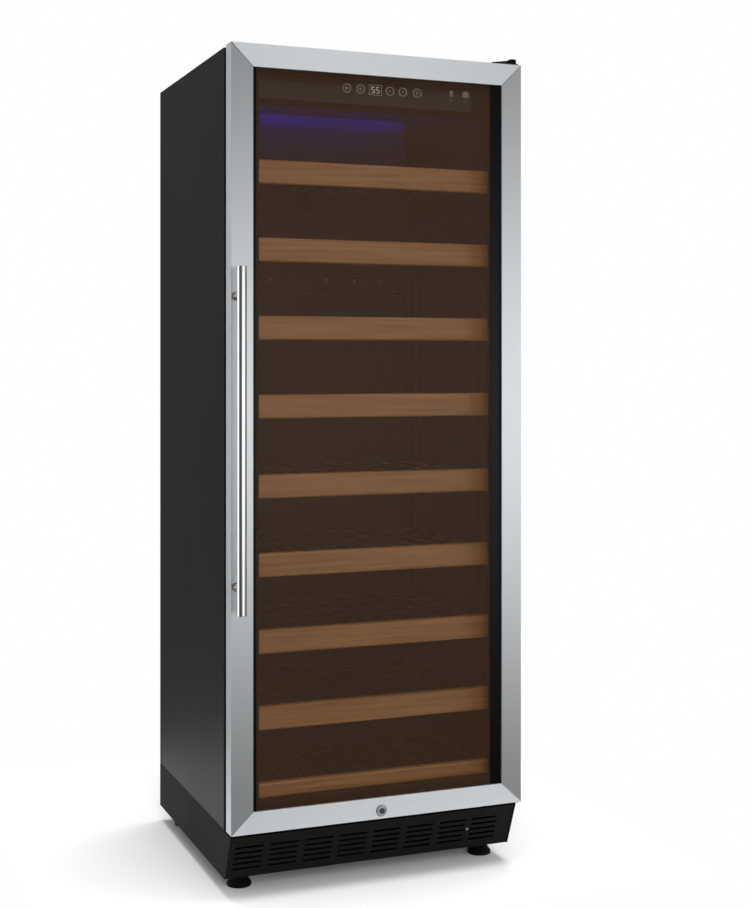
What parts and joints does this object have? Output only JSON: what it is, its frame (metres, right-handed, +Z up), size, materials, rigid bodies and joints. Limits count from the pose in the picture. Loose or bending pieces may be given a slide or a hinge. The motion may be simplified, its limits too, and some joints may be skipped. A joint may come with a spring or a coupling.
{
  "type": "wine cooler",
  "caption": "Tall free-standing wine cooler: black steel cabinet, tinted glass door in a steel frame with a bar handle, sliding wood-fronted shelves.",
  "frame": {"origin": "on the floor, at the middle of the bounding box's underside", "axes": "+Z up; -Y is the front, where the door is; +X is to the right of someone facing the door, the hinge side"},
  "size_m": [0.69, 0.686, 1.85],
  "materials": {
    "frame_steel": "brushed stainless steel",
    "polished_steel": "polished stainless steel",
    "black_steel": "black powder coat, fine texture",
    "base_steel": "black powder coat, fine texture",
    "zinc_steel": "zinc-coated sheet",
    "black_plastic": "moulded, matt",
    "liner_plastic": "vacuum-formed, satin",
    "tinted_glass": "bronze-tinted, polished",
    "seal_rubber": "soft, matt",
    "shelf_wood": "sanded beech, clear lacquer",
    "black_wire": "black coated wire",
    "foam": "rigid polyurethane foam",
    "coil_aluminium": "bare",
    "coil_copper": "black painted tube and fin",
    "light_lens": "clear lens, blue light behind"
  },
  "bodies": {
    "cabinet": {"left_side_panel": "black_steel", "right_side_panel": "black_steel", "top_panel": "black_steel", "rear_panel": "zinc_steel", "bottom_panel": "zinc_steel", "inner_liner": "liner_plastic", "foam_insulation": "foam", "left_shelf_ladder": "black_wire", "right_shelf_ladder": "black_wire", "control_panel": "black_plastic", "light_strip": "light_lens", "evaporator_cover": "liner_plastic", "evaporator": "coil_aluminium", "base_frame": "base_steel", "toe_grille": "black_plastic", "service_cover": "zinc_steel", "compressor": "black_steel", "condenser": "coil_copper", "fan_shroud": "zinc_steel", "top_hinge": "black_steel", "top_hinge_cover": "black_plastic", "bottom_hinge": "black_steel"},
    "door": {"door_frame_left": "frame_steel", "door_frame_right": "frame_steel", "door_frame_top": "frame_steel", "door_frame_bottom": "frame_steel", "door_inner_frame": "black_plastic", "outer_glass": "tinted_glass", "inner_glass": "tinted_glass", "glass_spacer": "black_plastic", "door_gasket": "seal_rubber", "handle_bar": "polished_steel", "handle_post_lower": "polished_steel", "handle_post_upper": "polished_steel", "lock_body": "polished_steel"},
    "lock": {"lock_plug": "polished_steel"},
    "shelf_1": {"shelf_front_1": "shelf_wood", "shelf_rack_1": "black_wire"},
    "shelf_2": {"shelf_front_2": "shelf_wood", "shelf_rack_2": "black_wire"},
    "shelf_3": {"shelf_front_3": "shelf_wood", "shelf_rack_3": "black_wire"},
    "shelf_4": {"shelf_front_4": "shelf_wood", "shelf_rack_4": "black_wire"},
    "shelf_5": {"shelf_front_5": "shelf_wood", "shelf_rack_5": "black_wire"},
    "shelf_6": {"shelf_front_6": "shelf_wood", "shelf_rack_6": "black_wire"},
    "shelf_7": {"shelf_front_7": "shelf_wood", "shelf_rack_7": "black_wire"},
    "shelf_8": {"shelf_front_8": "shelf_wood", "shelf_rack_8": "black_wire"},
    "shelf_9": {"shelf_front_9": "shelf_wood", "shelf_rack_9": "black_wire"},
    "evaporator_rotor": {"evaporator_fan": "black_plastic"},
    "condenser_rotor": {"condenser_fan": "black_plastic"},
    "foot_front_left_body": {"foot_front_left": "black_plastic"},
    "foot_front_right_body": {"foot_front_right": "black_plastic"},
    "foot_rear_left_body": {"foot_rear_left": "black_plastic"},
    "foot_rear_right_body": {"foot_rear_right": "black_plastic"}
  },
  "joints": [
    {"name": "door_hinge", "type": "hinge", "parent": "cabinet", "child": "door", "pos_m": [0.332, -0.275, 0.99], "axis": [0, 0, 1], "range_deg": [0, 115]},
    {"name": "lock_turn", "type": "hinge", "parent": "door", "child": "lock", "pos_m": [0, -0.25, 0.1625], "axis": [0, 1, 0], "range_deg": [0, 90]},
    {"name": "shelf_slide_1", "type": "slide", "parent": "cabinet", "child": "shelf_1", "axis": [0, -1, 0], "range_m": [0, 0.3]},
    {"name": "shelf_slide_2", "type": "slide", "parent": "cabinet", "child": "shelf_2", "axis": [0, -1, 0], "range_m": [0, 0.3]},
    {"name": "shelf_slide_3", "type": "slide", "parent": "cabinet", "child": "shelf_3", "axis": [0, -1, 0], "range_m": [0, 0.3]},
    {"name": "shelf_slide_4", "type": "slide", "parent": "cabinet", "child": "shelf_4", "axis": [0, -1, 0], "range_m": [0, 0.3]},
    {"name": "shelf_slide_5", "type": "slide", "parent": "cabinet", "child": "shelf_5", "axis": [0, -1, 0], "range_m": [0, 0.3]},
    {"name": "shelf_slide_6", "type": "slide", "parent": "cabinet", "child": "shelf_6", "axis": [0, -1, 0], "range_m": [0, 0.3]},
    {"name": "shelf_slide_7", "type": "slide", "parent": "cabinet", "child": "shelf_7", "axis": [0, -1, 0], "range_m": [0, 0.3]},
    {"name": "shelf_slide_8", "type": "slide", "parent": "cabinet", "child": "shelf_8", "axis": [0, -1, 0], "range_m": [0, 0.3]},
    {"name": "shelf_slide_9", "type": "slide", "parent": "cabinet", "child": "shelf_9", "axis": [0, -1, 0], "range_m": [0, 0.2]},
    {"name": "evaporator_fan_spin", "type": "hinge", "parent": "cabinet", "child": "evaporator_rotor", "pos_m": [0, 0.268, 1.6], "axis": [0, 1, 0], "continuous": true},
    {"name": "condenser_fan_spin", "type": "hinge", "parent": "cabinet", "child": "condenser_rotor", "pos_m": [0.211, 0.2505, 0.136], "axis": [0, 1, 0], "continuous": true},
    {"name": "foot_front_left_turn", "type": "hinge", "parent": "cabinet", "child": "foot_front_left_body", "pos_m": [-0.293, -0.18, 0.02], "axis": [0, 0, 1], "continuous": true},
    {"name": "foot_front_right_turn", "type": "hinge", "parent": "cabinet", "child": "foot_front_right_body", "pos_m": [0.293, -0.18, 0.02], "axis": [0, 0, 1], "continuous": true},
    {"name": "foot_rear_left_turn", "type": "hinge", "parent": "cabinet", "child": "foot_rear_left_body", "pos_m": [-0.293, 0.285, 0.02], "axis": [0, 0, 1], "continuous": true},
    {"name": "foot_rear_right_turn", "type": "hinge", "parent": "cabinet", "child": "foot_rear_right_body", "pos_m": [0.293, 0.285, 0.02], "axis": [0, 0, 1], "continuous": true}
  ],
  "couplings": [
    {"joint": "shelf_slide_1", "follows": "door_hinge", "m_per_rad": 0.058},
    {"joint": "shelf_slide_2", "follows": "door_hinge", "m_per_rad": 0.058},
    {"joint": "shelf_slide_3", "follows": "door_hinge", "m_per_rad": 0.058},
    {"joint": "shelf_slide_4", "follows": "door_hinge", "m_per_rad": 0.058},
    {"joint": "shelf_slide_5", "follows": "door_hinge", "m_per_rad": 0.058},
    {"joint": "shelf_slide_6", "follows": "door_hinge", "m_per_rad": 0.058},
    {"joint": "shelf_slide_7", "follows": "door_hinge", "m_per_rad": 0.058},
    {"joint": "shelf_slide_8", "follows": "door_hinge", "m_per_rad": 0.058},
    {"joint": "shelf_slide_9", "follows": "door_hinge", "m_per_rad": 0.058}
  ]
}
